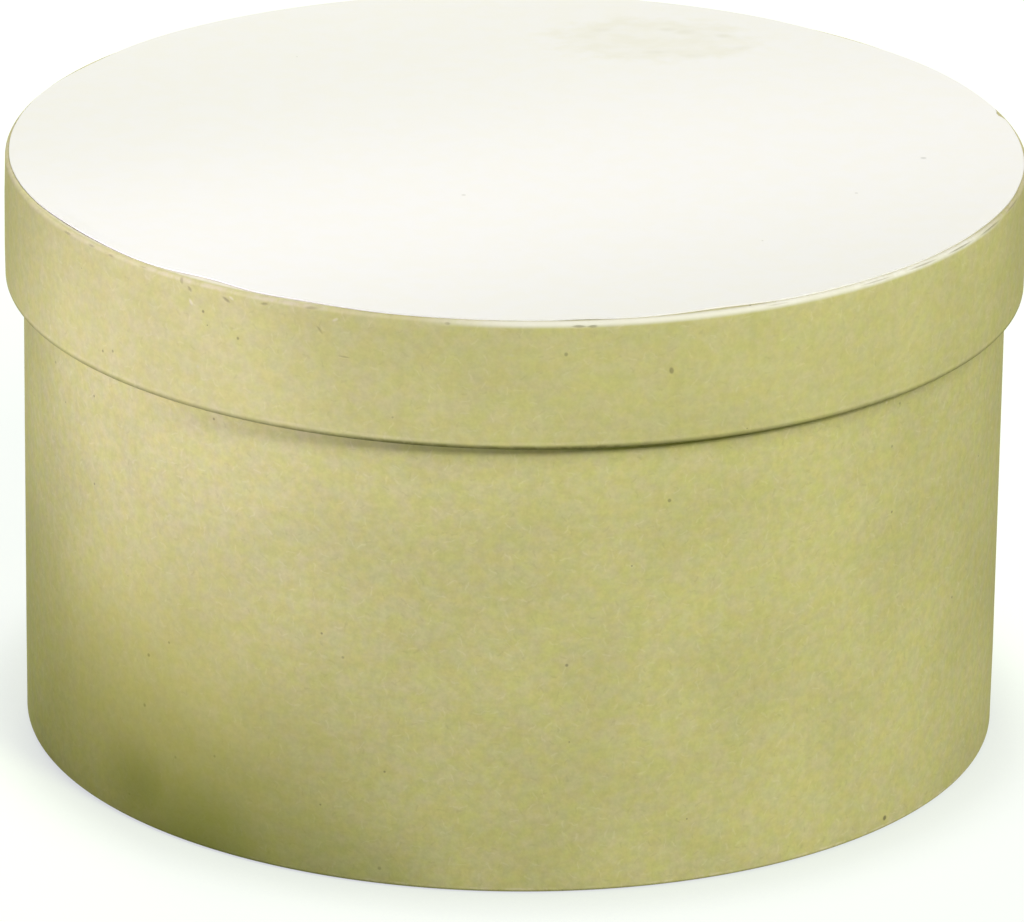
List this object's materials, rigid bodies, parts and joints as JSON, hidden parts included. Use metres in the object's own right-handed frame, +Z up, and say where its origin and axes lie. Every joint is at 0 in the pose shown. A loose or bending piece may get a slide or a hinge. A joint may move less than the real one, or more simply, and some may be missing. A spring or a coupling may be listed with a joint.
{
  "type": "round lidded box",
  "caption": "Round board box covered in kraft paper, with a loose lift-off lid that slips over the rim, for cheese, keepsakes or small goods.",
  "frame": {"origin": "middle of the underside, on the surface that the box stands on", "axes": "+Z up along the axis of the box, the way the lid lifts; +Y to the back, where the covers are lapped"},
  "size_m": [0.203, 0.203, 0.1189],
  "materials": {
    "kraft_cover": "matte",
    "top_sheet": "matte",
    "kraft_lining": "matte",
    "solid_board": "matte",
    "gummed_tape": "satin"
  },
  "bodies": {
    "base": {"base_wall_board": "solid_board", "base_wall_tape": "gummed_tape", "base_floor_board": "solid_board", "base_cover": "kraft_cover", "base_lining": "kraft_lining", "base_floor_sheet": "kraft_lining", "base_underside_sheet": "kraft_cover"},
    "lid": {"lid_rim_board": "solid_board", "lid_rim_tape": "gummed_tape", "lid_top_board": "solid_board", "lid_cover": "kraft_cover", "lid_lining": "kraft_lining", "lid_top_sheet": "top_sheet", "lid_ceiling_sheet": "kraft_lining"}
  },
  "joints": [
    {"name": "lid_lift", "type": "slide", "parent": "base", "child": "lid", "axis": [0, 0, 1], "range_m": [0, 0.15]}
  ]
}
